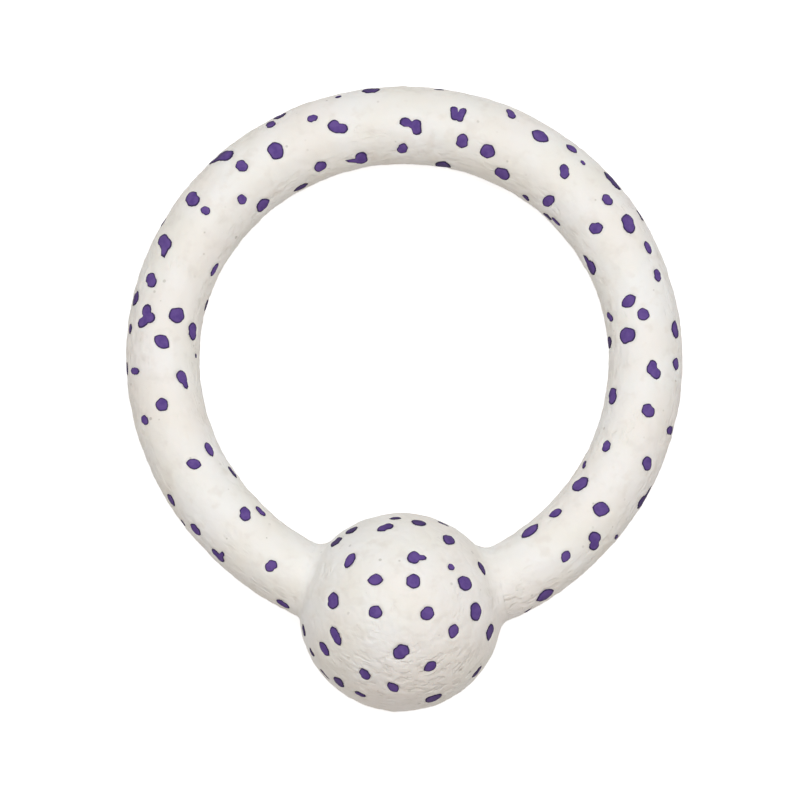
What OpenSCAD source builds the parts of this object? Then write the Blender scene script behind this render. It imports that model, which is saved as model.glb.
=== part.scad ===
/* [Ring] */
// Outside diameter of the ring
ring_d = 180; // [150:1:240]
// Diameter of the round tube that the ring is made of
tube_d = 24.2; // [20:0.2:30]

/* [Ball] */
// Diameter of the ball
ball_d = 64; // [54:1:72]
// How far the middle of the ball lies outside the middle line of the tube
ball_out = 5.2; // [3:0.2:7]
// Radius of the hollow blend where the ball runs out on to the ring
blend_r = 5; // [3:0.5:7]
// Height of the edge that the blend ends in
blend_edge = 0.4; // [0.3:0.05:0.8]

/* [Violet beads] */
// Size of a usual bead where it shows in the skin
bead_d = 4.6; // [3.5:0.1:5.6]
// How deep a bead reaches below the skin
bead_deep = 2.6; // [1.8:0.1:3.4]
// Number of beads on the underside of the ring
ring_under_count = 76; // [30:1:100]
// Number of beads on the underside of the ball
ball_under_count = 34; // [12:1:44]

/* [Fits] */
// Gap between a bead and the wall of its pocket
bead_gap = 0.1; // [0.05:0.01:0.3]
// Gap between the ball and the ring that runs through it
bond_gap = 0.1; // [0.05:0.01:0.2]

/* [Hidden] */

foam_colour = "#efe9e4";
bead_colour = "#5e4393";

// Cuts run past the skin by this much
overrun = 1;
// The blend's hollow dips this far into the ball, so that the two surfaces cross
blend_bite = 0.3;

tube_r = tube_d / 2;
ring_r = ring_d / 2 - tube_r;
ball_r = ball_d / 2;
ball_far = ring_r + ball_out;

// The toy lies on the ball and on the far side of the ring, so the ring slopes
rest_tilt = asin((ball_r - tube_r) / (ring_r + ball_far));
rest_lift = ball_r - ball_far * sin(rest_tilt);
rest_shift = (ball_r - tube_r + ball_out * cos(rest_tilt)) / 2;

// Middle of the circle that hollows the blend: out from the blend's axis, and along it
hollow_out = tube_r + blend_r;
hollow_along = sqrt(pow(ball_r + blend_r - blend_bite, 2) - pow(hollow_out, 2));
blend_foot_r = hollow_out * ball_r / (ball_r + blend_r);
blend_end = hollow_along - sqrt(pow(blend_r, 2) - pow(blend_r - blend_edge, 2));
// Angle about the ring, from the ball's middle to where the blend ends
blend_turn = acos(
    (pow(ring_r, 2) + pow(ball_far, 2) - pow(blend_end, 2)) / (2 * ring_r * ball_far)
);
// Slope of the line from the ball's middle to that place on the tube's middle line
blend_slope = atan2(ball_far - ring_r * cos(blend_turn), ring_r * sin(blend_turn));
// How far a bead may reach out from its middle, as a share of a usual bead
bead_reach_share = 0.8;
// No bead of the ring lies nearer to the ball than this angle
clear_turn = blend_turn + asin(bead_reach_share * bead_d / ring_r);

// The waist of a drawn-out bead as a share of its width, and how far apart, as a share of
// its width, its two rounds stand before it shows one
waist_share = 0.95;
round_share = 0.1;

// Facets of the round shapes
ring_fn = 160;
tube_fn = 72;
ball_fn = 120;
bead_fn = 32;

// The beads that show on top of the ring, one row for each lobe of a bead.
// A row holds the degrees about the ring, with the ball at 270, the degrees over the
// tube, from its top towards its outer side, the lobe's width and length as shares of
// a usual bead, and the degrees that its length is turned outwards from the ring's run.
ring_top_shares = [
    [296.5, 88, 0.3, 0.55, 0],
    [300.8, 71, 1.05, 1.3, 5],
    [305.5, -44, 1, 1.35, -10],
    [308.5, 30, 0.65, 0.8, -30],
    [313.5, -37, 0.7, 0.9, 30],
    [314.9, 49, 0.65, 0.85, 60],
    [316, 39, 0.85, 1, 90],
    [320, 78, 0.35, 0.6, 90],
    [321.5, 15, 0.95, 1.1, 60],
    [323.5, -40, 1.05, 1.3, 30],
    [329, 79, 0.95, 1, 0],
    [331.6, 82, 0.45, 1.1, 0],
    [329, -60, 0.35, 0.65, -30],
    [335.5, -34, 0.65, 0.85, -10],
    [336, 41, 0.8, 0.95, -45],
    [345, 67, 0.6, 0.9, 80],
    [347, 11.5, 0.85, 1.05, -60],
    [349.5, -56, 0.85, 1.25, -25],
    [356.3, 10.5, 0.75, 1.25, -55],
    [357.6, 8.5, 0.6, 0.8, 0],
    [359, 54, 0.7, 0.85, 0],
    [5.5, -32, 1.05, 1.2, 80],
    [5.5, -84, 0.8, 1.3, 90],
    [6.4, 56, 0.9, 1.2, 5],
    [10, -2, 0.8, 0.85, 0],
    [12, -63, 0.45, 0.9, -40],
    [14, -20, 0.8, 1.1, 70],
    [18.5, 39, 0.6, 0.95, 15],
    [25, 41.5, 0.55, 0.9, 5],
    [27, -68, 0.95, 1.1, 0],
    [29.5, -69, 0.35, 0.8, 0],
    [31.5, 29, 0.95, 1.45, 20],
    [32.5, 71, 0.35, 0.8, 0],
    [34.5, -20, 0.8, 1, -60],
    [38.5, 22, 0.7, 0.9, 0],
    [41.8, 65, 1, 1.65, 0],
    [43.5, -73.5, 0.35, 0.75, 0],
    [46.5, -84, 0.45, 0.75, -20],
    [48.5, 37, 0.3, 0.45, 15],
    [48.5, -50, 0.7, 1.15, -80],
    [50, 3.5, 0.65, 1.05, 45],
    [52.5, 47, 0.6, 0.85, 0],
    [54.5, -80, 0.5, 0.65, 60],
    [59.5, 29, 0.95, 1.2, 0],
    [63.2, -56, 0.95, 1.1, -20],
    [67.5, 44.5, 0.6, 1.1, 60],
    [69, -30, 0.95, 1, 0],
    [76, -27, 0.8, 1.05, 85],
    [77.8, 12, 0.55, 1.1, 105],
    [79.4, 12, 0.55, 1.1, 75],
    [80, -88, 1.05, 1.3, -80],
    [83.7, 63, 0.25, 0.7, 0],
    [87.9, -17, 0.65, 1.15, 85],
    [89.7, -11.5, 0.45, 0.9, 30],
    [90.9, -9, 0.65, 0.8, 0],
    [91.5, -52, 0.7, 0.85, -70],
    [98, 60, 1, 1.25, 0],
    [103, -63, 0.85, 1.2, 90],
    [105, -65, 0.3, 1.3, 25],
    [105, 56, 0.3, 0.42, 0],
    [107, -5, 0.7, 1.3, 20],
    [108, 1, 0.7, 0.9, -40],
    [112, 23.5, 0.55, 0.75, 0],
    [114.5, -54, 0.8, 0.85, -10],
    [117.8, 66, 0.85, 0.9, 0],
    [120.5, 52, 0.65, 0.9, 90],
    [121.5, -82, 0.65, 1, 0],
    [123, 2, 1, 1.2, 90],
    [131.5, 13.5, 0.75, 0.95, 90],
    [132.4, 54, 1, 1.7, 65],
    [134.6, 68, 0.5, 0.95, 50],
    [133.5, -60, 0.95, 1.05, -45],
    [137, -25.5, 0.6, 0.7, 90],
    [144.3, 37, 0.95, 1.35, -65],
    [145, 6, 0.55, 0.65, 90],
    [151.2, 75, 0.45, 0.65, 0],
    [155.1, 46, 0.8, 0.95, 60],
    [156, -63, 0.5, 1, 10],
    [156, 35, 0.9, 1.15, -55],
    [157.7, 31, 0.45, 0.75, -20],
    [164.5, 36.5, 0.8, 1.2, -45],
    [165.5, -84, 0.35, 0.75, 0],
    [168.5, 65, 0.85, 1, -20],
    [171.5, 31, 0.75, 0.9, 0],
    [171.5, -19, 1, 1.15, 70],
    [173, 25, 0.8, 1, 90],
    [173.7, -54, 0.85, 0.9, 60],
    [174, 35, 0.75, 0.95, 70],
    [175, 67, 0.5, 0.65, 0],
    [175, -55, 0.8, 0.9, -60],
    [178.5, 0, 0.9, 1.15, -55],
    [180.7, -67, 0.2, 0.3, 0],
    [183.2, 79, 0.4, 0.85, 0],
    [184.5, 50.5, 0.5, 0.95, -75],
    [187.3, -31, 0.8, 1, -25],
    [189.2, -36, 0.4, 0.65, 0],
    [193.5, 8.5, 0.85, 0.9, 0],
    [195.5, 45.5, 0.6, 0.75, -40],
    [207.5, -43, 0.65, 1, 0],
    [209.5, -6, 0.75, 1, -55],
    [213, 71, 0.75, 0.95, 0],
    [215.5, -67, 0.5, 0.9, -10],
    [218, 86, 0.35, 0.5, 0],
    [221.3, 62, 0.7, 1, 0],
    [227, -23, 0.8, 1.1, 50],
    [228.4, 67, 0.6, 1.2, 5],
    [229, -50, 0.45, 0.9, 12],
    [229.1, 60, 0.35, 0.85, 85],
    [239.5, 19, 0.7, 0.95, 105],
    [245.2, 73, 0.6, 1, 5]
];

// The beads that show on top of the ball, one row for each lobe of a bead.
// A row holds the lobe's place as seen from above, as shares of the ball's radius to the
// right and towards the ring, its width and length as shares of a usual bead, and the
// degrees that its length is turned from the right.
ball_top_shares = [
    [-0.07, 0.875, 0.5, 0.75, 0],
    [0.165, 0.815, 0.85, 0.95, 0],
    [-0.165, 0.75, 0.75, 1.15, 25],
    [-0.5, 0.755, 0.85, 1.05, 120],
    [-0.65, 0.635, 0.85, 1, 135],
    [0.465, 0.635, 0.85, 1.1, 55],
    [0.41, 0.855, 0.6, 0.8, -25],
    [-0.51, 0.385, 0.75, 1.1, 65],
    [0.12, 0.4, 0.85, 1, 80],
    [0.19, 0.4, 0.45, 0.85, 0],
    [0.49, 0.325, 0.45, 0.5, 0],
    [0.795, 0.385, 0.65, 0.95, -65],
    [-0.255, 0.16, 0.8, 1, 0],
    [0.12, 0.145, 0.9, 1, 90],
    [0.63, 0.175, 1, 1.15, 15],
    [-0.67, -0.02, 0.95, 1.15, 90],
    [-0.25, -0.165, 0.85, 0.9, 0],
    [0.265, -0.17, 0.85, 0.95, 40],
    [0.745, -0.09, 1.05, 1.2, 90],
    [0.53, -0.315, 0.75, 0.9, 90],
    [0.895, -0.245, 0.95, 1.05, 75],
    [-0.64, -0.36, 0.7, 1.3, -68],
    [-0.76, -0.455, 0.75, 1.05, -55],
    [-0.88, -0.44, 0.5, 0.65, -65],
    [-0.96, -0.215, 0.7, 0.8, -80],
    [0.01, -0.545, 0.95, 1.25, 45],
    [-0.35, -0.735, 0.75, 0.95, -70],
    [0.305, -0.66, 0.75, 0.95, 45],
    [-0.615, -0.755, 0.85, 1, 50],
    [-0.065, -0.855, 0.7, 1, -60],
    [-0.4, -0.885, 0.6, 0.8, -30],
    [0.35, -0.915, 1, 1.15, 20],
    [0.78, -0.61, 0.65, 1, 50],
    [-0.755, -0.65, 0.4, 0.9, -50]
];

// Beads that lie clear of the blend, out of a list of the ring's beads
function off_the_ball(beads) = [
    for (bead = beads)
        if (abs(bead[0] - 270) > clear_turn)
            bead
];

// Share of the way across its band at which bead number i lies, evenly spread but in no rows
golden_share = 0.618034;
function spread(i) = i * golden_share - floor(i * golden_share);

// Beads that are spread by rule have random widths, between these shares of a usual bead,
// random lengths, between these shares of their widths, and random turns
rule_wide_shares = [0.5, 1];
rule_stretch_shares = [1.05, 1.5];
function rule_beads(count, seed) = let (
    wide = rands(rule_wide_shares[0], rule_wide_shares[1], count, seed),
    stretch = rands(rule_stretch_shares[0], rule_stretch_shares[1], count, seed + 1),
    turn = rands(0, 180, count, seed + 2)
) [for (i = [0 : count - 1]) [wide[i], wide[i] * stretch[i], turn[i]]];

// The underside beads of the ring lie this many degrees to each side of its lowest line
under_half = 72;
ring_under_span = 360 - 2 * clear_turn;
ring_under_seed = 11;
ring_under_look = rule_beads(ring_under_count, ring_under_seed);
ring_under_shares = [
    for (i = [0 : ring_under_count - 1]) [
        clear_turn - 90 + ring_under_span * (i + 0.5) / ring_under_count,
        180 + under_half * (2 * spread(i) - 1),
        ring_under_look[i][0],
        ring_under_look[i][1],
        ring_under_look[i][2]
    ]
];

// The underside beads of the ball lie between these heights, as shares of its radius
ball_under_top_share = -0.14;
ball_under_low_share = -0.98;
golden_turn = 360 * golden_share;
ball_under_seed = 23;
ball_under_look = rule_beads(ball_under_count, ball_under_seed);

// How far a place on the ball's skin lies from the ring's skin
function off_ring(tilt, round) = let (
    x = ball_r * sin(tilt) * cos(round),
    y = ball_r * sin(tilt) * sin(round) - ball_far,
    z = ball_r * cos(tilt)
) norm([norm([x, y]) - ring_r, z]) - tube_r;

// Puts the toy down as it lies on a floor
module at_rest() {
    translate([0, rest_shift, rest_lift])
        rotate([-rest_tilt, 0, 0])
            children();
}

// A bead's outline: two rounds set apart along Y, with a waist a little narrower than they are
module bead_outline(wide, long) {
    slide = max(0, long - wide) / 2;
    for (side = [-1, 1])
        translate([0, side * slide])
            circle(d = wide, $fn = bead_fn);
    if (slide > wide * round_share)
        square([wide * waist_share, 2 * slide], center = true);
}

// One lobe of a bead, from its flat root up to past the skin, with the skin at height 0
module bead_lobe(wide_share, long_share, turn, gap) {
    rotate([0, 0, turn])
        translate([0, 0, -bead_deep])
            linear_extrude(bead_deep + overrun)
                bead_outline(bead_d * wide_share + 2 * gap, bead_d * long_share + 2 * gap);
}

// Stands lobes on the ring's tube
module ring_lobes(beads, gap) {
    for (bead = beads)
        rotate([0, 0, bead[0]])
            translate([ring_r, 0, 0])
                rotate([0, bead[1], 0])
                    translate([0, 0, tube_r])
                        bead_lobe(bead[2], bead[3], -bead[4], gap);
}

// Stands a lobe on the ball, tilt degrees from its top and round degrees about it
module ball_lobe(tilt, round, look, gap) {
    translate([0, -ball_far, 0])
        rotate([0, tilt, round])
            translate([0, 0, ball_r])
                bead_lobe(look[0], look[1], look[2], gap);
}

module ball_top_lobes(gap) {
    for (bead = ball_top_shares) {
        tilt = asin(norm([bead[0], bead[1]]));
        round = atan2(bead[1], bead[0]);
        ball_lobe(tilt, round, [bead[2], bead[3], bead[4] - round - 90], gap);
    }
}

module ball_under_lobes(gap) {
    step = (ball_under_low_share - ball_under_top_share) / ball_under_count;
    for (i = [0 : ball_under_count - 1]) {
        tilt = acos(ball_under_top_share + step * (i + 0.5));
        round = golden_turn * i;
        if (off_ring(tilt, round) > blend_r + bead_d / 2)
            ball_lobe(tilt, round, ball_under_look[i], gap);
    }
}

// The ring's plain tube, or with a gap the bore that holds it
module ring_body(gap = 0) {
    rotate_extrude($fn = ring_fn)
        translate([ring_r, 0])
            circle(tube_r + gap, $fn = tube_fn);
}

// The hollow flare in which the ball runs out on to one side of the ring
module blend() {
    translate([0, -ball_far, 0])
        rotate([0, 0, blend_slope])
            rotate([0, 90, 0])
                rotate_extrude($fn = ball_fn)
                    difference() {
                        square([blend_foot_r, blend_end]);
                        translate([hollow_out, hollow_along])
                            circle(blend_r, $fn = tube_fn);
                    }
}

// The sphere is turned so that its seam stays clear of the two blends
module ball_round() {
    translate([0, -ball_far, 0])
        rotate([0, 0, 90])
            sphere(ball_r, $fn = ball_fn);
}

module ball_body() {
    difference() {
        union() {
            ball_round();
            blend();
            mirror([1, 0, 0])
                blend();
        }
        ring_body(bond_gap);
    }
}

module ring() {
    color(foam_colour)
        at_rest()
            difference() {
                ring_body();
                ring_lobes(off_the_ball(ring_top_shares), bead_gap);
                ring_lobes(ring_under_shares, bead_gap);
            }
}

module ball() {
    color(foam_colour)
        at_rest()
            difference() {
                ball_body();
                ball_top_lobes(bead_gap);
                ball_under_lobes(bead_gap);
            }
}

module ring_top_beads() {
    color(bead_colour)
        at_rest()
            intersection() {
                ring_body();
                ring_lobes(off_the_ball(ring_top_shares), 0);
            }
}

module ring_under_beads() {
    color(bead_colour)
        at_rest()
            intersection() {
                ring_body();
                ring_lobes(ring_under_shares, 0);
            }
}

module ball_top_beads() {
    color(bead_colour)
        at_rest()
            intersection() {
                ball_body();
                ball_top_lobes(0);
            }
}

module ball_under_beads() {
    color(bead_colour)
        at_rest()
            intersection() {
                ball_body();
                ball_under_lobes(0);
            }
}

ring();
ball();
ring_top_beads();
ring_under_beads();
ball_top_beads();
ball_under_beads();
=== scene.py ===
"""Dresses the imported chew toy: a ring and a ball in off-white bead foam, flecked with violet beads.

Shapes are worked out in millimetres in the ring's own frame, where the ring lies flat round the
origin and the ball is at -Y. The last node of each tree lays them down as the toy rests, in metres.
"""

import math

import bpy
import numpy as np
from mathutils import Matrix, Vector


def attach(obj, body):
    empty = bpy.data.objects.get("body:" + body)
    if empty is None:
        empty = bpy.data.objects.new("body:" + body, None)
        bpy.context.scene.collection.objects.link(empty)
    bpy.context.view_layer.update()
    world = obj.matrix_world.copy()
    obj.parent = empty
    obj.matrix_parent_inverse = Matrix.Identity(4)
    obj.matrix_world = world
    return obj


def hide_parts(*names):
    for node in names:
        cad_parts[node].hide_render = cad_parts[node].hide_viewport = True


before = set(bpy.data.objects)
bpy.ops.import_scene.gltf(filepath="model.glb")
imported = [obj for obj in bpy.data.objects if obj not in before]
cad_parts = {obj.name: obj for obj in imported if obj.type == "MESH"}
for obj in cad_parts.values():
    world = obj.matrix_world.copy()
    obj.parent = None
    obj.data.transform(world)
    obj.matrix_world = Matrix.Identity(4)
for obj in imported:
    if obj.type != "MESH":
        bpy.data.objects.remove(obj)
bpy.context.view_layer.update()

MM = 0.001

# Sizes of the part in millimetres, as in its source
RING_R = 77.9
TUBE_R = 12.1
BALL_R = 32
BALL_FAR = 83.1
REST_TILT = math.asin((BALL_R - TUBE_R) / (RING_R + BALL_FAR))
REST_LIFT = BALL_R - BALL_FAR * math.sin(REST_TILT)
REST_SHIFT = (BALL_R - TUBE_R + (BALL_FAR - RING_R) * math.cos(REST_TILT)) / 2
BALL_MIDDLE = (0, -BALL_FAR, 0)

# The moulded ball is a little wider than it is long, and sits a little nearer to the ring
BALL_SKIN_R = 32.17
BALL_SHAPE = np.array((1.012, 0.99, 1))
BALL_SKIN_MIDDLE = (-0.15, -BALL_FAR + 0.45, 0)

# The moulded ring isn't quite round: how far it is larger, oval and three-sided, with the
# degrees at which those are greatest, and how far the ball draws it out, over which degrees
RING_GROWTH = 0.17
RING_OVAL = 0.35
OVAL_AT = 110
RING_THREE = 0.3
THREE_AT = 40
BALL_PULL = 1.4
PULL_AT = 272
PULL_REACH = 50

# Radius of the hollow between ball and ring: halfway, what it loses from there outwards, and
# what it gains from there to the right
HOLLOW_R = 2.5
HOLLOW_LOSS = 1.1
HOLLOW_GAIN = 0.7

# Lengths below these count as none: in sums, and between points of a mesh
TINY = 1e-9
TINY_MESH = 1e-6
# A noise node's values lie mostly between these
NOISE_RANGE = (0.35, 0.65)


def linear(hex_colour):
    """Turns an sRGB hex value into the linear colour that a socket takes."""
    shares = [int(hex_colour[i:i + 2], 16) / 255 for i in (1, 3, 5)]
    return [s / 12.92 if s <= 0.04045 else ((s + 0.055) / 1.055) ** 2.4 for s in shares] + [1]


def node(tree, kind, inputs=(), **settings):
    """Adds a node with its settings, and sets or links its inputs, given by place or by name."""
    new = tree.nodes.new(kind)
    for name, value in settings.items():
        setattr(new, name, value)
    pairs = inputs.items() if isinstance(inputs, dict) else enumerate(inputs)
    for key, value in pairs:
        if isinstance(key, str):
            socket = next(s for s in new.inputs if s.enabled and s.name == key)
        else:
            socket = new.inputs[key]
        if isinstance(value, bpy.types.Node):
            value = value.outputs[0]
        if isinstance(value, bpy.types.NodeSocket):
            tree.links.new(value, socket)
        elif value is not None:
            socket.default_value = value
    return new


def new_tree(name, inputs, outputs):
    """Starts a geometry tree with its named inputs and outputs."""
    tree = bpy.data.node_groups.new(name, "GeometryNodeTree")
    for label, kind, value in inputs:
        socket = tree.interface.new_socket(label, in_out="INPUT", socket_type="NodeSocket" + kind)
        if value is not None:
            socket.default_value = value
    for label, kind in outputs:
        tree.interface.new_socket(label, in_out="OUTPUT", socket_type="NodeSocket" + kind)
    return tree, tree.nodes.new("NodeGroupInput"), tree.nodes.new("NodeGroupOutput")


def ring_run(angle):
    """Radius of the tube's middle line at an angle about the ring."""
    off_pull = (angle - math.radians(PULL_AT) + math.pi) % (2 * math.pi) - math.pi
    drawn = np.clip(off_pull / math.radians(PULL_REACH), -1, 1)
    return (
        RING_R + RING_GROWTH
        + RING_OVAL * np.cos(2 * (angle - math.radians(OVAL_AT)))
        + RING_THREE * np.cos(3 * (angle - math.radians(THREE_AT)))
        + BALL_PULL * np.cos(drawn * math.pi / 2) ** 2
    )


def along_ring(points):
    """Distance from the ring's skin, and the way straight out of it."""
    flat = np.hypot(points[:, 0], points[:, 1])
    out = flat - ring_run(np.arctan2(points[:, 1], points[:, 0]))
    reach = np.hypot(out, points[:, 2])
    way = np.stack([points[:, 0] / flat * out, points[:, 1] / flat * out, points[:, 2]], 1)
    return reach - TUBE_R, way / reach[:, None]


def along_ball(points):
    """Distance from the ball's skin, and the way straight out of it."""
    way = (points - np.array(BALL_SKIN_MIDDLE)) / BALL_SHAPE
    reach = np.linalg.norm(way, axis=1)
    out = way / BALL_SHAPE
    return reach - BALL_SKIN_R, out / np.linalg.norm(out, axis=1)[:, None]


def hollow_radius(points):
    """The hollow is wide towards the ring's middle and tight on its outside."""
    outwards = (np.hypot(points[:, 0], points[:, 1]) - RING_R) / TUBE_R
    to_right = points[:, 0] / BALL_R
    return HOLLOW_R - HOLLOW_LOSS * np.clip(outwards, -1, 1) + HOLLOW_GAIN * np.clip(to_right, -1, 1)


# Steps that bring a point on to the joined skin, and the least that the square of its way may
# shrink to, where the ways out of ball and ring point apart
SKIN_STEPS = 8
LEAST_WAY = 0.2


def to_joined_skin(points, radius):
    """Moves points on to the skin of ball and ring together, with the hollow between them."""
    for _ in range(SKIN_STEPS):
        ball_gap, ball_way = along_ball(points)
        ring_gap, ring_way = along_ring(points)
        ball_in = np.maximum(radius - ball_gap, 0)
        ring_in = np.maximum(radius - ring_gap, 0)
        reach = np.maximum(np.hypot(ball_in, ring_in), TINY)
        both = (ball_in > 0) & (ring_in > 0)
        nearer_ball = ball_gap < ring_gap
        gap = np.where(both, radius - reach, np.where(nearer_ball, ball_gap, ring_gap))
        blend = (ball_in[:, None] * ball_way + ring_in[:, None] * ring_way) / reach[:, None]
        one = np.where(nearer_ball[:, None], ball_way, ring_way)
        way = np.where(both[:, None], blend, one)
        size = np.maximum((way ** 2).sum(1), LEAST_WAY)
        points = points - (gap / size)[:, None] * way
    return points


def to_ball_skin(points):
    return to_joined_skin(points, hollow_radius(points))


def to_ring_skin(points):
    gap, way = along_ring(points)
    return points - gap[:, None] * way


def mesh_object(name, points, faces):
    mesh = bpy.data.meshes.new(name)
    mesh.from_pydata([tuple(p) for p in points], [], [tuple(f) for f in faces])
    mesh.update()
    made = bpy.data.objects.new(name, mesh)
    bpy.context.scene.collection.objects.link(made)
    return made


# Blanks: the outline of each violet bead, laid on the smooth skin, as spokes and rings of points
BLANK_TURNS = 24
BLANK_RINGS = (0.55, 0.88, 1)
# Directions in which a solid's outline is measured
SIGHT_TURNS = 72
# A face that looks out of the skin by this much belongs to a solid's outer face
LOOKS_OUT = 0.5
# How far past an edge's ends a line of sight may meet it
EDGE_SLACK = 0.01
# Pressed together, the foam beads took corners: how far the outline goes from round to cornered,
# and how far where the bead is a cluster of lobes, which has corners of its own
CORNER_SHARE = 0.45
CLUSTER_CORNER_SHARE = 0.15
# A bead whose two halves differ by this share of its reach is a cluster
CLUSTER_SHARE = 0.07
# A bead longer than it is wide by this share has a corner at each of its ends
LONG_SHARE = 0.22
LONG_CORNERS = (4, 6)
ROUND_CORNERS = (4, 5, 5, 6)
# Lobes round the outline, and how deep they are
PRESS_LOBES = ((2, 0.02), (3, 0.03), (7, 0.015))
# The outline as a share of the solid's, larger for the corners that are cut into it
OUTLINE_SHARE = 1.07
LONG_OUTLINE_SHARE = 1.01
# The way up in the ring's frame: that at rest, leant a little more towards the ball
UP_TILT = REST_TILT + 0.1
UPWARDS = (0, -math.sin(UP_TILT), math.cos(UP_TILT))


def to_ring_frame(points):
    """Takes points at rest, in metres, back to the ring's own frame, in millimetres."""
    turn = np.array(Matrix.Rotation(REST_TILT, 3, "X"))
    return (points / MM - np.array((0, REST_SHIFT, REST_LIFT))) @ turn.T


def bead_solids(name):
    """The points and triangles of each solid in a bead node, in the ring's frame."""
    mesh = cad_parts[name].data
    places = np.empty(len(mesh.vertices) * 3)
    mesh.vertices.foreach_get("co", places)
    mesh.calc_loop_triangles()
    corners = np.empty(len(mesh.loop_triangles) * 3, int)
    mesh.loop_triangles.foreach_get("vertices", corners)
    # Loose triangles become one net where they meet to the micrometre, and each solid's points
    # then take the lowest number among them
    places, index = np.unique(np.round(places.reshape(-1, 3) / MM, 3), axis=0, return_inverse=True)
    corners = index.ravel()[corners].reshape(-1, 3)
    label = np.arange(len(places))
    while True:
        lower = label.copy()
        np.minimum.at(lower, corners.ravel(), np.repeat(label[corners].min(1), 3))
        lower = lower[lower]
        if (lower == label).all():
            break
        label = lower
    places = to_ring_frame(places * MM)
    for one in np.unique(label[corners[:, 0]]):
        yield places, corners[label[corners[:, 0]] == one]


def bead_outline(places, corners, along):
    """The middle of a bead's outer face, two ways across it, and its reach in each direction."""
    a, b, c = (places[corners[:, i]] for i in range(3))
    cross = np.cross(b - a, c - a)
    area = np.linalg.norm(cross, axis=1)
    third = (a + b + c) / 3
    _, way = along(third)
    cap = (cross * way).sum(1) > LOOKS_OUT * area
    if (cross[cap] * way[cap]).sum() <= 0:
        raise ValueError("a bead has no outer face")
    middle = (third[cap] * area[cap, None]).sum(0) / area[cap].sum()
    out = along(middle[None])[1][0]
    steep = abs(out[2]) > 0.9
    right = np.cross((0, 1, 0) if steep else (0, 0, 1), out)
    right /= np.linalg.norm(right)
    ahead = np.cross(out, right)
    # An edge of the outline belongs to one triangle of the outer face alone
    used = {}
    for corner in corners[cap]:
        for i in range(3):
            edge = tuple(sorted((corner[i], corner[(i + 1) % 3])))
            used[edge] = used.get(edge, 0) + 1
    rim = np.array([edge for edge, times in used.items() if times == 1])
    flat = np.stack([(places - middle) @ right, (places - middle) @ ahead], 1)
    start = flat[rim[:, 0]]
    run = flat[rim[:, 1]] - start
    reach = []
    for i in range(SIGHT_TURNS):
        angle = 2 * math.pi * i / SIGHT_TURNS
        ray = np.array((math.cos(angle), math.sin(angle)))
        slant = ray[0] * run[:, 1] - ray[1] * run[:, 0]
        slant = np.where(abs(slant) < TINY, TINY, slant)
        far = (start[:, 0] * run[:, 1] - start[:, 1] * run[:, 0]) / slant
        share = (start[:, 0] * ray[1] - start[:, 1] * ray[0]) / slant
        hit = (share > -EDGE_SLACK) & (share < 1 + EDGE_SLACK) & (far > 0)
        reach.append(far[hit].max() if hit.any() else np.nan)
    reach = np.array(reach)
    reach[np.isnan(reach)] = np.nanmean(reach)
    return middle, right, ahead, reach


def pressed_outline(reach, random):
    """Angles round a bead from its long axis on, and its reach there with the corners of chance."""
    sight = 2 * math.pi * np.arange(SIGHT_TURNS) / SIGHT_TURNS
    across = reach + np.roll(reach, SIGHT_TURNS // 2)
    axis = sight[across.argmax()]
    turns = 2 * math.pi * np.arange(BLANK_TURNS) / BLANK_TURNS
    angles = axis + turns
    drawn_out = across.max() > (1 + LONG_SHARE) * across.min()
    halves = abs(reach - np.roll(reach, SIGHT_TURNS // 2)).mean()
    cornering = CLUSTER_CORNER_SHARE if halves > CLUSTER_SHARE * reach.mean() else CORNER_SHARE
    reach = np.interp(angles % (2 * math.pi), sight, reach, period=2 * math.pi)
    reach = reach * (LONG_OUTLINE_SHARE if drawn_out else OUTLINE_SHARE)
    corners = random.choice(LONG_CORNERS if drawn_out else ROUND_CORNERS)
    side = 2 * math.pi / corners
    first_corner = 0 if drawn_out else random.uniform(0, side)
    off_side = (turns - first_corner) % side - side / 2
    cornered = math.cos(side / 2) / np.cos(off_side)
    reach = reach * (1 + cornering * (cornered / cornered.mean() - 1))
    for lobes, depth in PRESS_LOBES:
        reach = reach * (1 + depth * np.sin(lobes * angles + random.uniform(0, 2 * math.pi)))
    return angles, reach


def bead_blanks(name, along, to_skin, seed):
    """One mesh with a blank for each bead of a node.

    Its attribute share runs from 0 in a bead's middle to 1 at its rim, and side from 0 on top of
    the toy to 1 at its flanks.
    """
    random = np.random.default_rng(seed)
    points, faces, shares, middles = [], [], [], []
    for places, corners in bead_solids(name):
        middle, right, ahead, reach = bead_outline(places, corners, along)
        angles, reach = pressed_outline(reach, random)
        first = len(points)
        points.append(middle)
        shares.append(0)
        for share in BLANK_RINGS:
            spokes = share * reach[:, None]
            to_rim = np.cos(angles)[:, None] * right + np.sin(angles)[:, None] * ahead
            points.extend(middle + spokes * to_rim)
            shares.extend([share] * BLANK_TURNS)
        middles.extend([middle] * (1 + BLANK_TURNS * len(BLANK_RINGS)))
        for i in range(BLANK_TURNS):
            j = (i + 1) % BLANK_TURNS
            faces.append((first, first + 1 + i, first + 1 + j))
            for ring in range(len(BLANK_RINGS) - 1):
                inner = first + 1 + ring * BLANK_TURNS
                outer = inner + BLANK_TURNS
                faces.append((inner + i, outer + i, outer + j, inner + j))
    blanks = mesh_object(name + "_blanks", to_skin(np.array(points)), faces)
    share_data = blanks.data.attributes.new("share", "FLOAT", "POINT")
    share_data.data.foreach_set("value", shares)
    middle_data = blanks.data.attributes.new("bead_middle", "FLOAT_VECTOR", "POINT")
    middle_data.data.foreach_set("vector", np.array(middles).ravel())
    upright = along(np.array(points))[1] @ np.array(UPWARDS)
    side_data = blanks.data.attributes.new("side", "FLOAT", "POINT")
    side_data.data.foreach_set("value", np.sqrt(1 - np.clip(upright, -1, 1) ** 2))
    return blanks


# The ball before its relief is an even net of squares, which runs out on to the ring
BALL_CELLS = 120
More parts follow.
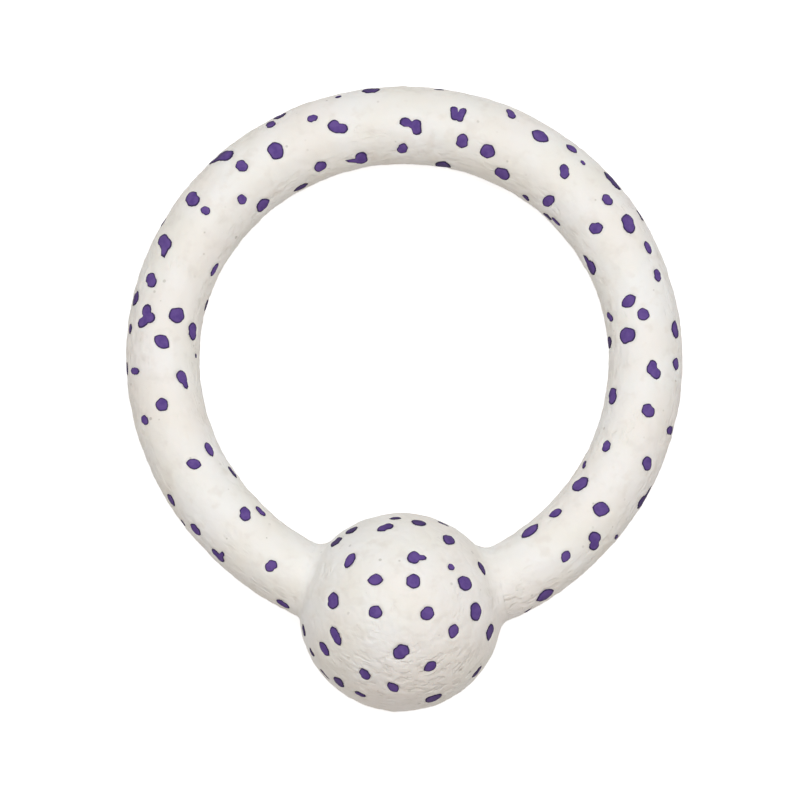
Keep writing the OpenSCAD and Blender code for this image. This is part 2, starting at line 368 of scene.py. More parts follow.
# The ball's skin runs on this far along the ring, sinking under its skin, before it turns in
TAIL_LENGTH = 2.5
TAIL_SINK = 0.12


def ball_net():
    """Ways out of the ball's middle to the corners of its net, a cube's net blown up, and its squares."""
    steps = np.tan(np.linspace(-math.pi / 4, math.pi / 4, BALL_CELLS + 1))
    u, v = np.meshgrid(steps, steps, indexing="ij")
    one = np.ones_like(u)
    sides = [
        (one, u, v), (-one, v, u),
        (v, one, u), (u, -one, v),
        (u, v, one), (v, u, -one),
    ]
    points = np.concatenate([np.stack(side, -1).reshape(-1, 3) for side in sides])
    count = BALL_CELLS + 1
    i, j = np.meshgrid(np.arange(BALL_CELLS), np.arange(BALL_CELLS), indexing="ij")
    low = (i * count + j).ravel()
    square = np.stack([low, low + count, low + count + 1, low + 1], 1)
    faces = np.concatenate([square + side * count * count for side in range(6)])
    # Points that two sides share become one
    points, index = np.unique(np.round(points, 9), axis=0, return_inverse=True)
    faces = index.ravel()[faces]
    way = points / np.linalg.norm(points, axis=1)[:, None]
    return way, faces


def ball_base():
    """The ball with its hollows, and a tail that sinks under the ring's skin on each side."""
    way, faces = ball_net()
    base = np.array(BALL_SKIN_MIDDLE) + BALL_SKIN_R * BALL_SHAPE * way
    gap, ring_way = along_ring(base)
    radius = hollow_radius(base)
    across = ring_way - (ring_way * way).sum(1)[:, None] * way
    across /= np.maximum(np.linalg.norm(across, axis=1), TINY_MESH)[:, None]
    turn = np.clip(1 - gap / radius, 0, 1) * math.pi / 2
    tail = np.clip(-gap, 0, TAIL_LENGTH)
    new_gap = np.where(gap > 0, radius * (1 - np.sin(turn)), -TAIL_SINK * tail ** 2)
    rise = np.where(gap > 0, radius * (1 - np.cos(turn)), radius + tail)
    near = (gap < radius) & (gap > -TAIL_LENGTH)
    moved = base + (new_gap - gap)[:, None] * across + rise[:, None] * way
    points = np.where(near[:, None], moved, base)
    shown = gap > -TINY_MESH
    points[shown] = to_joined_skin(points[shown], radius[shown])
    under = near & ~shown
    tail_gap, tail_way = along_ring(points[under])
    points[under] -= (tail_gap + TAIL_SINK * tail[under] ** 2)[:, None] * tail_way
    return mesh_object("ball_base", points, faces)


# Squares of the ring's net, along the ring and round its tube
RING_CELLS = 740
TUBE_CELLS = 118


def ring_base():
    """The tube, all the way round, before its relief."""
    i, j = np.meshgrid(np.arange(RING_CELLS), np.arange(TUBE_CELLS), indexing="ij")
    turn = 2 * math.pi * i.ravel() / RING_CELLS
    lean = 2 * math.pi * j.ravel() / TUBE_CELLS
    flat = ring_run(turn) + TUBE_R * np.sin(lean)
    points = np.stack([flat * np.cos(turn), flat * np.sin(turn), TUBE_R * np.cos(lean)], 1)
    next_i, next_j = (i + 1) % RING_CELLS, (j + 1) % TUBE_CELLS
    corners = ((i, j), (i, next_j), (next_i, next_j), (next_i, j))
    faces = np.stack([(a * TUBE_CELLS + b).ravel() for a, b in corners], 1)
    return mesh_object("ring_base", points, faces)


# The foam's wrinkles, which both its relief and its material follow: the length and width of
# one in millimetres, and between which values of its noise the skin steps down
WRINKLE_LENGTH = 9.091
WRINKLE_WIDTH = 3.03
WRINKLE_STEP = (0.42, 0.56)
# Distances from the ball's middle between which the wrinkles' net goes from ring to ball
NET_CHANGE = (34.5, 33)
# The ball is wrinkled from its middle towards its far end, and more on its right
BALL_WRINKLES_OUT = (-9, -21)
BALL_WRINKLES_RIGHT = (-28, 12)
LEFT_STRENGTH = 0.4
# The ring is wrinkled in patches, and at its flanks, this far to each side of its middle line
PATCH_SIZE = 11.11
PATCH_NOISE = (0.56, 0.7)
PATCH_STRENGTH = 0.45
FLANK_OUT = (6.5, 10.5)
FLANK_STRENGTH = 0.6
# A patch of its own beside the ball's right shoulder: its middle, and where it starts and is full
SHOULDER = (37, -79, 6)
SHOULDER_REACH = (10, 5)
# Here and there, the wrinkles break off
BREAK_SIZE = 3.333
BREAK_NOISE = (0.4, 0.56)
BREAK_STRENGTH = 0.1


def skin_net(tree, start, ring_reach, tube_reach):
    """How far a place lies along and across a round skin, and how far out from its middle line."""
    axes = node(tree, "ShaderNodeSeparateXYZ", [start])
    turn = node(tree, "ShaderNodeMath", [axes.outputs[1], axes.outputs[0]], operation="ARCTAN2")
    flat = node(tree, "ShaderNodeVectorMath", [start, (1, 1, 0)], operation="MULTIPLY")
    flat = node(tree, "ShaderNodeVectorMath", [flat], operation="LENGTH")
    out = node(tree, "ShaderNodeMath", [flat.outputs["Value"], ring_reach], operation="SUBTRACT")
    lean = node(tree, "ShaderNodeMath", [out, axes.outputs[2]], operation="ARCTAN2")
    run = max(ring_reach, tube_reach)
    along = node(tree, "ShaderNodeMath", [turn, run], operation="MULTIPLY")
    across = node(tree, "ShaderNodeMath", [lean, tube_reach], operation="MULTIPLY")
    return node(tree, "ShaderNodeCombineXYZ", [along, across, 0]), out


def wrinkled_places(tree, place, from_ball, on_ball, out):
    """How strongly the skin is wrinkled at a place, from 0 to 1."""
    axes = node(tree, "ShaderNodeSeparateXYZ", [from_ball])
    outer = node(tree, "ShaderNodeMapRange", [axes.outputs[1], *BALL_WRINKLES_OUT, 0, 1],
                 interpolation_type="SMOOTHSTEP")
    right = node(tree, "ShaderNodeMapRange",
                 [axes.outputs[0], *BALL_WRINKLES_RIGHT, LEFT_STRENGTH, 1])
    outer_half = node(tree, "ShaderNodeMath", [outer, right], operation="MULTIPLY")
    patch = node(tree, "ShaderNodeTexNoise", {"Vector": place, "Scale": 1 / PATCH_SIZE, "Detail": 1})
    in_patch = node(tree, "ShaderNodeMapRange", [patch, *PATCH_NOISE, 0, PATCH_STRENGTH],
                    interpolation_type="SMOOTHSTEP")
    where = node(tree, "ShaderNodeMath", [outer_half, in_patch], operation="MAXIMUM")
    beside = node(tree, "ShaderNodeVectorMath", [place, SHOULDER], operation="DISTANCE")
    beside = node(tree, "ShaderNodeMapRange", [beside.outputs["Value"], *SHOULDER_REACH, 0, 1])
    where = node(tree, "ShaderNodeMath", [where, beside], operation="MAXIMUM")
    flank = node(tree, "ShaderNodeMath", [out], operation="ABSOLUTE")
    flank = node(tree, "ShaderNodeMapRange", [flank, *FLANK_OUT, 0, FLANK_STRENGTH],
                 interpolation_type="SMOOTHSTEP")
    off_ball = node(tree, "ShaderNodeMath", [1, on_ball], operation="SUBTRACT")
    flank = node(tree, "ShaderNodeMath", [flank, off_ball], operation="MULTIPLY")
    where = node(tree, "ShaderNodeMath", [where, flank], operation="MAXIMUM")
    breaks = node(tree, "ShaderNodeTexNoise", {"Vector": place, "Scale": 1 / BREAK_SIZE, "Detail": 1})
    broken = node(tree, "ShaderNodeMapRange", [breaks, *BREAK_NOISE, BREAK_STRENGTH, 1],
                  interpolation_type="SMOOTHSTEP")
    where = node(tree, "ShaderNodeMath", [where, broken], operation="MULTIPLY")
    # None in the hollow, where the two nets go over into each other and would smear them
    off_hollow = node(tree, "ShaderNodeMath", [on_ball, 0.5], operation="SUBTRACT")
    off_hollow = node(tree, "ShaderNodeMath", [off_hollow], operation="ABSOLUTE")
    off_hollow = node(tree, "ShaderNodeMapRange", [off_hollow, 0.4, 0.5, 0, 1])
    return node(tree, "ShaderNodeMath", [where, off_hollow], operation="MULTIPLY")


def wrinkles(tree, place, finer=1):
    """Low steps in the skin, which run round the ball's outer half and along the ring's flanks."""
    from_ball = node(tree, "ShaderNodeVectorMath", [place, BALL_MIDDLE], operation="SUBTRACT")
    reach = node(tree, "ShaderNodeVectorMath", [from_ball], operation="LENGTH")
    on_ball = node(tree, "ShaderNodeMapRange", [reach.outputs["Value"], *NET_CHANGE, 0, 1])
    ball_net_place, _ = skin_net(tree, from_ball, 0, BALL_R)
    ring_net_place, out = skin_net(tree, place, RING_R, TUBE_R)
    net = node(
        tree, "ShaderNodeMix", {"Factor": on_ball, "A": ring_net_place, "B": ball_net_place},
        data_type="VECTOR",
    )
    stretch = (finer / WRINKLE_LENGTH, finer / WRINKLE_WIDTH, 1)
    drawn_out = node(tree, "ShaderNodeVectorMath", [net.outputs["Result"], stretch],
                     operation="MULTIPLY")
    ripple = node(
        tree, "ShaderNodeTexNoise", {"Vector": drawn_out, "Scale": 1, "Detail": 1, "Distortion": 0.5}
    )
    step = node(tree, "ShaderNodeMapRange", [ripple, *WRINKLE_STEP, 0, 1],
                interpolation_type="SMOOTHSTEP")
    where = wrinkled_places(tree, place, from_ball, on_ball, out)
    return node(tree, "ShaderNodeMath", [step, where], operation="MULTIPLY")


# The tube is a little thicker at the side away from the ball than beside it: waves round the
# ring, and the degrees at which each is highest
SWELL_WAVES = ((1, 85, "Swell"), (2, 100, "Second Swell"))
# The borders of the foam's beads wander: the size and reach of that
WARP_SIZE = 3.333
WARP_REACH = (1.6, 1.6, 1.6)
# How wide a border is, as a share of a foam bead
BORDER_SHARE = 0.16


def foam_relief():
    """How far the foam's skin stands out from the smooth skin at a place."""
    tree, given, result = new_tree(
        "foam relief",
        [
            ("Place", "Vector", None),
            ("Swell", "Float", 0.38),
            ("Second Swell", "Float", 0.2),
            ("Lump Size", "Float", 22),
            ("Lump Height", "Float", 0.3),
            ("Dimple Size", "Float", 5),
            ("Dimple Height", "Float", 0.3),
            ("Foam Bead Size", "Float", 5),
            ("Foam Bead Border", "Float", 0.09),
            ("Wrinkle Height", "Float", 0.17),
        ],
        [("Height", "Float")],
    )
    place = given.outputs["Place"]

    axes = node(tree, "ShaderNodeSeparateXYZ", [place])
    round_ring = node(tree, "ShaderNodeMath", [axes.outputs[1], axes.outputs[0]], operation="ARCTAN2")
    height = 0
    for waves, highest, size in SWELL_WAVES:
        lead = math.radians(-waves * highest)
        angle = node(tree, "ShaderNodeMath", [round_ring, waves, lead], operation="MULTIPLY_ADD")
        wave = node(tree, "ShaderNodeMath", [angle], operation="COSINE")
        height = node(tree, "ShaderNodeMath", [wave, given.outputs[size], height],
                      operation="MULTIPLY_ADD")

    # Broad lumps and dimples, where foam beads of uneven size were pressed together
    for size, tall in (("Lump Size", "Lump Height"), ("Dimple Size", "Dimple Height")):
        scale = node(tree, "ShaderNodeMath", [1, given.outputs[size]], operation="DIVIDE")
        noise = node(tree, "ShaderNodeTexNoise", {"Vector": place, "Scale": scale, "Detail": 1.5})
        both_ways = node(tree, "ShaderNodeMath", [noise, 2, -1], operation="MULTIPLY_ADD")
        height = node(
            tree, "ShaderNodeMath", [both_ways, given.outputs[tall], height], operation="MULTIPLY_ADD"
        )

    # Faint furrows where the foam beads meet
    warp = node(tree, "ShaderNodeTexNoise", {"Vector": place, "Scale": 1 / WARP_SIZE, "Detail": 0})
    warped = node(tree, "ShaderNodeVectorMath", [warp.outputs["Color"], WARP_REACH, place],
                  operation="MULTIPLY_ADD")
    scale = node(tree, "ShaderNodeMath", [1, given.outputs["Foam Bead Size"]], operation="DIVIDE")
    cells = node(
        tree, "ShaderNodeTexVoronoi", {"Vector": warped, "Scale": scale}, feature="DISTANCE_TO_EDGE"
    )
    border = node(
        tree, "ShaderNodeMapRange", [cells, 0, BORDER_SHARE, 1, 0], interpolation_type="SMOOTHSTEP"
    )
    furrow = node(
        tree, "ShaderNodeMath", [border, given.outputs["Foam Bead Border"]], operation="MULTIPLY"
    )
    height = node(tree, "ShaderNodeMath", [height, furrow], operation="SUBTRACT")

    sunk = node(tree, "ShaderNodeMath", [wrinkles(tree, place), given.outputs["Wrinkle Height"]],
                operation="MULTIPLY")
    height = node(tree, "ShaderNodeMath", [height, sunk], operation="SUBTRACT")
    tree.links.new(height.outputs[0], result.inputs[0])
    return tree


# Half the side of the floor, in metres
FLOOR_HALF = 3


def lay_down(tree, shape, material):
    """The last nodes of each tree: lay the shape down at rest, in metres, with its material."""
    resting = node(
        tree, "GeometryNodeTransform",
        {
            "Geometry": shape,
            "Translation": (0, REST_SHIFT * MM, REST_LIFT * MM),
            "Rotation": (-REST_TILT, 0, 0),
            "Scale": (MM, MM, MM),
        },
    )
    # The soft foam flattens where it touches the floor: no place is lower than height 0
    place = node(tree, "GeometryNodeInputPosition")
    on_floor = node(tree, "ShaderNodeVectorMath", [place, (-FLOOR_HALF, -FLOOR_HALF, 0)],
                    operation="MAXIMUM")
    resting = node(tree, "GeometryNodeSetPosition", {"Geometry": resting, "Position": on_floor})
    smooth = node(tree, "GeometryNodeSetShadeSmooth", {"Geometry": resting})
    real = node(tree, "GeometryNodeRealizeInstances", {"Geometry": smooth})
    return node(tree, "GeometryNodeSetMaterial", {"Geometry": real, "Material": material})


def foam_skin(relief):
    """Gives a smooth skin its relief, and a pocket under each violet bead."""
    tree, given, result = new_tree(
        "foam skin",
        [
            ("Geometry", "Geometry", None),
            ("Beads On Top", "Object", None),
            ("Beads Below", "Object", None),
            ("Pocket Depth", "Float", 0.3),
            ("Pocket Wall", "Float", 0.1),
            ("Pocket Lip", "Float", 0.55),
            ("Material", "Material", None),
        ],
        [("Geometry", "Geometry")],
    )
    place = node(tree, "GeometryNodeInputPosition")
    way = node(tree, "GeometryNodeInputNormal")
    gap = None
    for label in ("Beads On Top", "Beads Below"):
        blanks = node(tree, "GeometryNodeObjectInfo", {"Object": given.outputs[label]})
        near = node(tree, "GeometryNodeProximity", [blanks.outputs["Geometry"]],
                    target_element="FACES")
        far = near.outputs["Distance"]
        gap = node(tree, "ShaderNodeMath", [gap, far], operation="MINIMUM") if gap else far
    depth = given.outputs["Pocket Depth"]
    pocket = node(
        tree, "ShaderNodeMapRange",
        [gap, given.outputs["Pocket Wall"], given.outputs["Pocket Lip"], depth, 0],
        interpolation_type="SMOOTHSTEP",
    )
    height = node(tree, "GeometryNodeGroup", {"Place": place}, node_tree=relief)
    stand = node(tree, "ShaderNodeMath", [height, pocket], operation="SUBTRACT")
    offset = node(tree, "ShaderNodeVectorMath", {"Vector": way, "Scale": stand}, operation="SCALE")
    moved = node(tree, "GeometryNodeSetPosition",
                 {"Geometry": given.outputs["Geometry"], "Offset": offset})
    done = lay_down(tree, moved, given.outputs["Material"])
    tree.links.new(done.outputs[0], result.inputs[0])
    return tree


# Share of the way from a bead's middle to its rim from which its edge rolls down
ROLL_SHARE = 0.85


def violet_bead(relief):
    """Turns each blank into a bead: a low crown, a rolled edge, and a wall down into its pocket."""
    tree, given, result = new_tree(
        "violet bead",
        [
            ("Geometry", "Geometry", None),
            ("Crown", "Float", 0.05),
            ("Edge Roll", "Float", 0.07),
            ("Wall Depth", "Float", 0.6),
            ("Wall Spread", "Float", 0.12),
            ("Material", "Material", None),
        ],
        [("Geometry", "Geometry")],
    )
    place = node(tree, "GeometryNodeInputPosition")
    way = node(tree, "GeometryNodeInputNormal")
    share = node(tree, "GeometryNodeInputNamedAttribute", {"Name": "share"}, data_type="FLOAT")
    height = node(tree, "GeometryNodeGroup", {"Place": place}, node_tree=relief)
    domed = node(tree, "ShaderNodeMapRange", [share, 0, 1, given.outputs["Crown"], 0],
                 interpolation_type="SMOOTHSTEP")
    rolled = node(tree, "ShaderNodeMapRange",
                  [share, ROLL_SHARE, 1, 0, given.outputs["Edge Roll"]])
    stand = node(tree, "ShaderNodeMath", [height, domed], operation="ADD")
    stand = node(tree, "ShaderNodeMath", [stand, rolled], operation="SUBTRACT")
    offset = node(tree, "ShaderNodeVectorMath", {"Vector": way, "Scale": stand}, operation="SCALE")
    top = node(tree, "GeometryNodeSetPosition",
               {"Geometry": given.outputs["Geometry"], "Offset": offset})
    sides = node(tree, "GeometryNodeInputMeshEdgeNeighbors")
    rim = node(tree, "FunctionNodeCompare", {"A": sides, "B": 1}, data_type="INT", operation="EQUAL")
    middle = node(tree, "GeometryNodeInputNamedAttribute", {"Name": "bead_middle"},
                  data_type="FLOAT_VECTOR")
    outwards = node(tree, "ShaderNodeVectorMath", [place, middle], operation="SUBTRACT")
    outwards = node(tree, "ShaderNodeVectorMath", [outwards], operation="NORMALIZE")
    spread = node(tree, "ShaderNodeVectorMath",
                  {"Vector": outwards, "Scale": given.outputs["Wall Spread"]}, operation="SCALE")
    down = node(tree, "ShaderNodeVectorMath",
                {"Vector": way, "Scale": given.outputs["Wall Depth"]}, operation="SCALE")
    run = node(tree, "ShaderNodeVectorMath", [spread, down], operation="SUBTRACT")
    walled = node(tree, "GeometryNodeExtrudeMesh",
                  {"Mesh": top, "Selection": rim, "Offset": run, "Offset Scale": 1}, mode="EDGES")
    done = lay_down(tree, walled, given.outputs["Material"])
    tree.links.new(done.outputs[0], result.inputs[0])
    return tree


def bake(carrier, name, tree, values):
    """Runs a geometry tree on a carrier, and keeps the result as a plain mesh by the piece's name."""
    modifier = carrier.modifiers.new(tree.name, "NODES")
    modifier.node_group = tree
    for socket in tree.interface.items_tree:
        if socket.in_out == "INPUT" and socket.name in values:
            modifier[socket.identifier] = values[socket.name]
    graph = bpy.context.evaluated_depsgraph_get()
    mesh = bpy.data.meshes.new_from_object(
        carrier.evaluated_get(graph), preserve_all_data_layers=True, depsgraph=graph
    )
    mesh.name = name
    carrier.modifiers.clear()
    piece = bpy.data.objects.new(name, mesh)
    bpy.context.scene.collection.objects.link(piece)
    return piece


def new_material(name):
    """Starts a material, with the place in millimetres in the ring's frame for its patterns."""
    material = bpy.data.materials.new(name)
    material.use_nodes = True
    tree = material.node_tree
    tree.nodes.clear()
    output = tree.nodes.new("ShaderNodeOutputMaterial")
    where = node(tree, "ShaderNodeTexCoord")
    turn = Matrix.Rotation(REST_TILT, 3, "X")
    place = node(
        tree, "ShaderNodeMapping",
        {
            "Vector": where.outputs["Object"],
            "Location": turn @ Vector((0, -REST_SHIFT, -REST_LIFT)),
            "Rotation": (REST_TILT, 0, 0),
            "Scale": (1 / MM, 1 / MM, 1 / MM),
        },
    )
    return material, tree, output, place


# Sizes of the foam's patterns, in millimetres: wide clouds of a warmer and of a rosy white, small
# grey spots, the skin's grain, and the spacing of the pits that are left where foam beads meet.
# The grain is drawn coarser than the real one, so that it shows.
CLOUD_SIZE = 18.18
BLUSH_SIZE = 33.33
SPOT_SIZE = 4.545
GRAIN_SIZE = 1.111
PIT_SPACING = 3.226
# The wrinkles that show in the foam's shading are finer than those in its shape by this
FINE_WRINKLES = 1.8


def foam_material():
    """Moulded bead foam (expanded TPU): a satin, off-white skin that lets a little light in."""
    material, tree, output, place = new_material("moulded_bead_foam_off_white")
    cloud = node(tree, "ShaderNodeTexNoise", {"Vector": place, "Scale": 1 / CLOUD_SIZE, "Detail": 2})
    tone = node(tree, "ShaderNodeMapRange", [cloud, *NOISE_RANGE, 0, 1])
    colour = node(
        tree, "ShaderNodeMix", {"Factor": tone, "A": linear("#f2f1ee"), "B": linear("#efece4")},
        data_type="RGBA",
    )
    blush = node(tree, "ShaderNodeTexNoise", {"Vector": place, "Scale": 1 / BLUSH_SIZE, "Detail": 1})
    rosy = node(tree, "ShaderNodeMapRange", [blush, 0.45, 0.65, 0, 0.3],
                interpolation_type="SMOOTHSTEP")
    colour = node(
        tree, "ShaderNodeMix",
        {"Factor": rosy, "A": colour.outputs["Result"], "B": linear("#f1e9e4")}, data_type="RGBA",
    )
    spots = node(tree, "ShaderNodeTexNoise", {"Vector": place, "Scale": 1 / SPOT_SIZE, "Detail": 2})
    grey = node(tree, "ShaderNodeMapRange", [spots, 0.52, 0.75, 0, 0.55],
                interpolation_type="SMOOTHSTEP")
    colour = node(
        tree, "ShaderNodeMix",
        {"Factor": grey, "A": colour.outputs["Result"], "B": linear("#e5e0d9")}, data_type="RGBA",
    )
    # Painted shade: a little darker where the wrinkles sink in
    crease_shade = node(tree, "ShaderNodeMath", [wrinkles(tree, place), 0.08], operation="MULTIPLY")
    colour = node(
        tree, "ShaderNodeMix",
        {"Factor": crease_shade, "A": colour.outputs["Result"], "B": linear("#c6bdb0")}, data_type="RGBA",
    )
    # Each cell has a pit whose width and darkness are a matter of chance, and often next to none. The
    # darkness is painted shade in the pit, which the bump below also sinks
    pits = node(tree, "ShaderNodeTexVoronoi", {"Vector": place, "Scale": 1 / PIT_SPACING})
    chance = node(tree, "ShaderNodeSeparateColor", [pits.outputs["Color"]])
    edge = node(tree, "ShaderNodeMapRange", [chance.outputs[0], 0.5, 1, 0.02, 0.2])
    inside = node(tree, "ShaderNodeMath", [edge, pits.outputs["Distance"]], operation="SUBTRACT")
    pit = node(tree, "ShaderNodeMapRange", [inside, -0.04, 0.06, 0, 1],
               interpolation_type="SMOOTHSTEP")
    strength = node(tree, "ShaderNodeMapRange", [chance.outputs[1], 0.3, 1, 0, 0.55])
    pit_tone = node(tree, "ShaderNodeMath", [pit, strength], operation="MULTIPLY")
    colour = node(
        tree, "ShaderNodeMix",
        {"Factor": pit_tone, "A": colour.outputs["Result"], "B": linear("#9c958a")}, data_type="RGBA",
    )
    # Grain 0.15 mm high with the pits sunk into it, and wrinkles 0.23 mm deep
    grain = node(tree, "ShaderNodeTexNoise", {"Vector": place, "Scale": 1 / GRAIN_SIZE, "Detail": 3})
    deep = node(tree, "ShaderNodeMath", [pit_tone, -1.5, grain], operation="MULTIPLY_ADD")
    bump = node(tree, "ShaderNodeBump", {"Height": deep, "Strength": 0.4, "Distance": 0.15 * MM})
    creased = wrinkles(tree, place, FINE_WRINKLES)
    sunk = node(tree, "ShaderNodeMath", [creased, -1], operation="MULTIPLY")
    bump = node(tree, "ShaderNodeBump",
                {"Height": sunk, "Strength": 1, "Distance": 0.23 * MM, "Normal": bump})
    shader = node(
        tree, "ShaderNodeBsdfPrincipled",
        {
            "Base Color": colour.outputs["Result"],
            "Roughness": 0.55,
            "IOR": 1.48,
            "Subsurface Weight": 0.15,
            "Subsurface Radius": (1, 0.8, 0.65),
            "Subsurface Scale": 1.5 * MM,
            "Normal": bump,
        },
    )
    tree.links.new(shader.outputs[0], output.inputs["Surface"])
    return material


# Sizes of the violet beads' patterns: clouds, and a grain that is coarser than the real one too
BEAD_CLOUD_SIZE = 2.222
BEAD_GRAIN_SIZE = 0.909


def violet_material():
    """Violet TPU bead: the same satin skin, dyed through, with painted shade at its rim and on the toy's
    flanks.
    """
    material, tree, output, place = new_material("pressed_tpu_bead_violet")
    cloud = node(
        tree, "ShaderNodeTexNoise", {"Vector": place, "Scale": 1 / BEAD_CLOUD_SIZE, "Detail": 2}
    )
    tone = node(tree, "ShaderNodeMapRange", [cloud, *NOISE_RANGE, 0, 1])
    colour = node(
        tree, "ShaderNodeMix", {"Factor": tone, "A": linear("#5c4589"), "B": linear("#6b5396")},
        data_type="RGBA",
    )
    # Painted shade: darker towards each bead's rim, where it rolls down into its pocket in the foam
    share = node(tree, "ShaderNodeAttribute", attribute_name="share")
    rim = node(tree, "ShaderNodeMapRange", [share.outputs["Fac"], 0.75, 0.95, 0, 0.9],
               interpolation_type="SMOOTHSTEP")
    colour = node(
        tree, "ShaderNodeMix",
        {"Factor": rim, "A": colour.outputs["Result"], "B": linear("#32284a")}, data_type="RGBA",
    )
    # Painted shade: beads at the toy's flanks are darker and greyer
    side = node(tree, "ShaderNodeAttribute", attribute_name="side")
    flank_shade = node(tree, "ShaderNodeMapRange", [side.outputs["Fac"], 0.83, 0.98, 0, 0.6],
                  interpolation_type="SMOOTHSTEP")
    colour = node(
        tree, "ShaderNodeMix",
        {"Factor": flank_shade, "A": colour.outputs["Result"], "B": linear("#2e2936")}, data_type="RGBA",
    )
    grain = node(
        tree, "ShaderNodeTexNoise", {"Vector": place, "Scale": 1 / BEAD_GRAIN_SIZE, "Detail": 3}
    )
    bump = node(tree, "ShaderNodeBump", {"Height": grain, "Strength": 0.2, "Distance": 0.1 * MM})
    shader = node(
        tree, "ShaderNodeBsdfPrincipled",
        {
            "Base Color": colour.outputs["Result"],
            "Roughness": 0.7,
            "IOR": 1.48,
            "Specular IOR Level": 0.1,
            "Normal": bump,
        },
    )
    tree.links.new(shader.outputs[0], output.inputs["Surface"])
    return material


# The camera looks down from the ball's side, at about the photograph's angle, from 2 m away
CAMERA_DISTANCE = 2000
CAMERA_LEAN = math.radians(5.6)
CAMERA_ROLL = math.radians(0.9)
SENSOR_WIDTH = 36
# Width of what the camera sees at the ring
VIEW_WIDTH = 257.8
# Where the ring's middle lies off the picture's middle, in millimetres to the right and up
RING_OFFSET = (1.5, 13)


def place_camera():
    data = bpy.data.cameras.new("camera")
    data.sensor_width = SENSOR_WIDTH
    data.lens = SENSOR_WIDTH * CAMERA_DISTANCE / VIEW_WIDTH
    data.clip_start = 0.1
    data.clip_end = 20
    camera = bpy.data.objects.new("camera", data)
    bpy.context.scene.collection.objects.link(camera)
    back = Vector((0, -math.sin(CAMERA_LEAN), math.cos(CAMERA_LEAN)))
    right = Vector((1, 0, 0))
    up = back.cross(right)
    right, up = (
        right * math.cos(CAMERA_ROLL) + up * math.sin(CAMERA_ROLL),
        up * math.cos(CAMERA_ROLL) - right * math.sin(CAMERA_ROLL),
    )
    ring_middle = Vector((0, REST_SHIFT, REST_LIFT))
    eye = ring_middle + back * CAMERA_DISTANCE
    aim = ring_middle - right * RING_OFFSET[0] - up * RING_OFFSET[1]
    back = (eye - aim).normalized()
    right = (right - back * right.dot(back)).normalized()
    up = back.cross(right)
    turn = Matrix((right, up, back)).transposed()
    camera.matrix_world = Matrix.Translation(eye * MM) @ turn.to_4x4()
    bpy.context.scene.camera = camera


# A round soft lamp over the toy: its place and width in metres, and its power in watts
LAMP_PLACE = (0.05, 0.18, 1.32)
LAMP_WIDTH = 1
LAMP_POWER = 8.4
# The floor's own glow brings what the camera sees of it up to white round the toy's shadow
FLOOR_GLOW = 0.6
# How bright the sky is on the ball's side and on the far side
SKY_LEVELS = (0.44, 0.65)


def soft_lamp():
    data = bpy.data.lights.new("soft_lamp", "AREA")
    data.shape = "DISK"
    data.size = LAMP_WIDTH
    data.energy = LAMP_POWER
    lamp = bpy.data.objects.new("soft_lamp", data)
    bpy.context.scene.collection.objects.link(lamp)
    turn = (-Vector(LAMP_PLACE)).to_track_quat("-Z", "Y").to_matrix().to_4x4()
    lamp.matrix_world = Matrix.Translation(LAMP_PLACE) @ turn


def pale_floor():
    """A floor that the camera sees white, with the toy's shadow, and that lights it as pale wood would."""
    low, high = -FLOOR_HALF, FLOOR_HALF
    corners = [(low, low, 0), (high, low, 0), (high, high, 0), (low, high, 0)]
    floor = mesh_object("floor", corners, [(0, 1, 2, 3)])
    material = bpy.data.materials.new("pale_floor")
    material.use_nodes = True
    tree = material.node_tree
    tree.nodes.clear()
    output = tree.nodes.new("ShaderNodeOutputMaterial")
    path = node(tree, "ShaderNodeLightPath")
    seen = node(tree, "ShaderNodeMath",
                [path.outputs["Is Camera Ray"], path.outputs["Is Glossy Ray"]], operation="MAXIMUM")
    seen = node(tree, "ShaderNodeMath",
                [seen, path.outputs["Is Transmission Ray"]], operation="MAXIMUM")
    shown = node(tree, "ShaderNodeBsdfDiffuse", {"Color": linear("#f4f4f4")})
    glow = node(tree, "ShaderNodeEmission", {"Color": (1, 1, 1, 1), "Strength": FLOOR_GLOW})
    bright = node(tree, "ShaderNodeAddShader", [shown, glow])
    dull = node(tree, "ShaderNodeBsdfDiffuse", {"Color": linear("#b2ada8")})
    mixed = node(tree, "ShaderNodeMixShader", [seen, dull, bright])
    tree.links.new(mixed.outputs[0], output.inputs["Surface"])
    floor.data.materials.append(material)


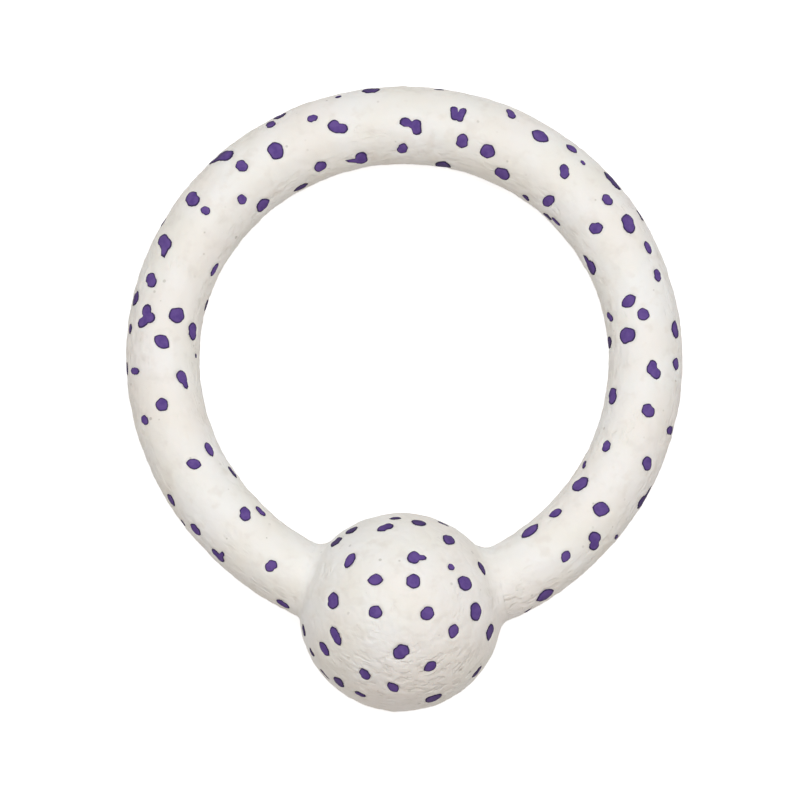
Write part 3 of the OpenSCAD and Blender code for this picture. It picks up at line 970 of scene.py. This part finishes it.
def soft_sky():
    """A sky that the camera sees white, and that is dimmer and warmer on the ball's side."""
    world = bpy.data.worlds.new("soft_sky")
    bpy.context.scene.world = world
    world.use_nodes = True
    tree = world.node_tree
    tree.nodes.clear()
    output = tree.nodes.new("ShaderNodeOutputWorld")
    path = node(tree, "ShaderNodeLightPath")
    seen = node(tree, "ShaderNodeMath",
                [path.outputs["Is Camera Ray"], path.outputs["Is Glossy Ray"]], operation="MAXIMUM")
    way = node(tree, "ShaderNodeTexCoord")
    way = node(tree, "ShaderNodeSeparateXYZ", [way.outputs["Generated"]])
    level = node(tree, "ShaderNodeMapRange", [way.outputs[1], -1, 1, *SKY_LEVELS])
    warm = node(tree, "ShaderNodeMapRange", [way.outputs[1], -0.9, 0, 1, 0])
    tint = node(tree, "ShaderNodeMix",
                {"Factor": warm, "A": (1, 1, 1, 1), "B": linear("#fff0e4")}, data_type="RGBA")
    fill = node(tree, "ShaderNodeBackground", {"Color": tint.outputs["Result"], "Strength": level})
    white = node(tree, "ShaderNodeBackground", {"Color": (1, 1, 1, 1), "Strength": 1})
    mixed = node(tree, "ShaderNodeMixShader", [seen, fill, white])
    tree.links.new(mixed.outputs[0], output.inputs["Surface"])


bpy.context.scene.view_settings.view_transform = "Standard"
place_camera()

foam = foam_material()
violet = violet_material()
relief_tree = foam_relief()
skin_tree = foam_skin(relief_tree)
bead_tree = violet_bead(relief_tree)

# For each node of beads, the skin that they lie in and a seed for their corners
bead_groups = {
    "ring_top_beads": (along_ring, to_ring_skin, 3),
    "ring_under_beads": (along_ring, to_ring_skin, 5),
    "ball_top_beads": (along_ball, to_ball_skin, 7),
    "ball_under_beads": (along_ball, to_ball_skin, 9),
}
blanks = {name: bead_blanks(name, *how) for name, how in bead_groups.items()}
carriers = list(blanks.values())

pieces = []
for name in bead_groups:
    piece = bake(blanks[name], name.replace("beads", "violet_beads"), bead_tree, {"Material": violet})
    pieces.append((piece, name, "violet_beads"))

for carrier, name, cad_node in ((ring_base(), "ring_skin", "ring"), (ball_base(), "ball_skin", "ball")):
    carriers.append(carrier)
    values = {
        "Beads On Top": blanks[cad_node + "_top_beads"],
        "Beads Below": blanks[cad_node + "_under_beads"],
        "Material": foam,
    }
    piece = bake(carrier, name, skin_tree, values)
    pieces.append((piece, cad_node, "white_bead_foam"))

for carrier in carriers:
    bpy.data.objects.remove(carrier)

for piece, cad_node, slot in pieces:
    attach(piece, "root")
    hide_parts(cad_node)

pale_floor()
soft_sky()
soft_lamp()
